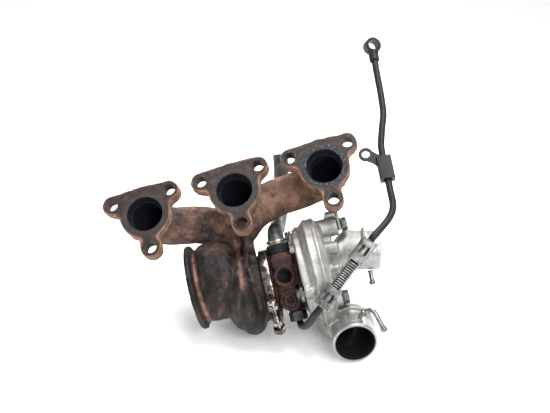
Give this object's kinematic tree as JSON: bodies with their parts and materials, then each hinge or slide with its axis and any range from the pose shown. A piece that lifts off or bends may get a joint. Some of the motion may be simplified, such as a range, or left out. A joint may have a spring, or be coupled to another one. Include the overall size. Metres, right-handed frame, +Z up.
{
  "type": "turbocharger",
  "caption": "Turbocharger: exhaust manifold cast with the turbine housing, aluminium compressor, wastegate actuator, oil feed pipe with a sprung hose, and oil drain pipe.",
  "frame": {"origin": "middle of the bounding box in plan, at the floor that the part rests on, with the part lying as it rests by itself", "axes": "+Z up; +X to the compressor side, along the longest extent; -Y to the side that the compressor outlet points to, so +Y to the actuator"},
  "size_m": [0.2458, 0.17, 0.2346],
  "materials": {
    "rusty_cast_iron": "heat-rusted casting, brown with orange rust and dark soot",
    "dark_cast_iron": "dark reddish-brown sand casting, dull",
    "cast_aluminium": "as cast, fine grain, satin",
    "bright_steel": "polished with a light heat tint",
    "bearing_steel": "ground",
    "nickel_alloy": "cast, dark with heat",
    "milled_aluminium": "machined, bright",
    "bronze": "turned",
    "black_steel": "black oxide, satin",
    "grey_steel": "drawn tube, dull grey",
    "zinc_plate": "bright zinc plated",
    "yellow_zinc": "yellow zinc plated",
    "rubber": "matt"
  },
  "bodies": {
    "housing": {"exhaust_manifold_turbine_housing": "rusty_cast_iron", "turbine_heat_shield": "nickel_alloy", "v_band_clamp": "bright_steel", "v_band_bolt": "bright_steel", "v_band_nut": "bright_steel", "wastegate_bush": "bearing_steel", "centre_housing": "dark_cast_iron", "coolant_plug": "black_steel", "turbine_seal_ring": "bearing_steel", "journal_bearing_turbine": "bronze", "bearing_spacer": "bronze", "journal_bearing_compressor": "bronze", "thrust_bearing": "bronze", "compressor_seal_ring": "bearing_steel", "compressor_backplate": "cast_aluminium", "backplate_o_ring": "rubber", "compressor_housing": "cast_aluminium", "clamp_plate_1": "zinc_plate", "clamp_bolt_1": "zinc_plate", "clamp_plate_2": "zinc_plate", "clamp_bolt_2": "zinc_plate", "clamp_plate_3": "zinc_plate", "clamp_bolt_3": "zinc_plate", "bracket_bolt_upper": "zinc_plate", "housing_bolt_lower": "zinc_plate", "boost_nipple": "bright_steel", "inlet_nipple": "bright_steel", "actuator_front_shell": "yellow_zinc", "actuator_rear_shell": "yellow_zinc", "actuator_diaphragm": "rubber", "actuator_spring": "bearing_steel", "actuator_bracket": "yellow_zinc", "actuator_nut_inner": "zinc_plate", "actuator_nut_outer": "zinc_plate", "oil_feed_nut": "black_steel", "oil_feed_pipe_lower": "black_steel", "oil_feed_pipe_upper": "black_steel", "oil_feed_hose": "rubber", "hose_armour_spring": "zinc_plate", "hose_clip_lower": "zinc_plate", "hose_clip_upper": "zinc_plate", "banjo_fitting": "black_steel", "pipe_bracket": "black_steel", "oil_drain_collar": "black_steel", "oil_drain_seal": "yellow_zinc", "oil_drain_pipe": "grey_steel"},
    "rotor": {"turbine_wheel_shaft": "nickel_alloy", "compressor_wheel": "milled_aluminium", "rotor_nut": "bearing_steel", "thrust_collar": "bearing_steel", "oil_flinger": "bearing_steel"},
    "wastegate": {"wastegate_arm": "nickel_alloy", "wastegate_flap": "nickel_alloy", "flap_washer": "nickel_alloy", "wastegate_lever": "nickel_alloy", "lever_pin": "nickel_alloy"},
    "actuator_rod": {"actuator_rod": "zinc_plate", "actuator_piston": "zinc_plate", "rod_end": "zinc_plate", "rod_lock_nut": "zinc_plate"}
  },
  "joints": [
    {"name": "rotor_spin", "type": "hinge", "parent": "housing", "child": "rotor", "pos_m": [0.01768, -0.02518, 0.043], "axis": [0.9702, 0.0729, 0.231], "continuous": true},
    {"name": "wastegate_swing", "type": "hinge", "parent": "housing", "child": "wastegate", "pos_m": [-0.02992, 0.01654, 0.04795], "axis": [0.0508, 0.871, -0.4886], "range_deg": [0, 25]},
    {"name": "actuator_rod_slide", "type": "slide", "parent": "housing", "child": "actuator_rod", "axis": [-0.9702, -0.0729, -0.231], "range_m": [0, 0.0095], "stiffness_N_per_m": 2000, "springref_m": -0.005, "deforming": ["actuator_spring", "actuator_diaphragm"]}
  ],
  "couplings": [
    {"joint": "wastegate_swing", "follows": "actuator_rod_slide", "rad_per_m": 45.8}
  ]
}
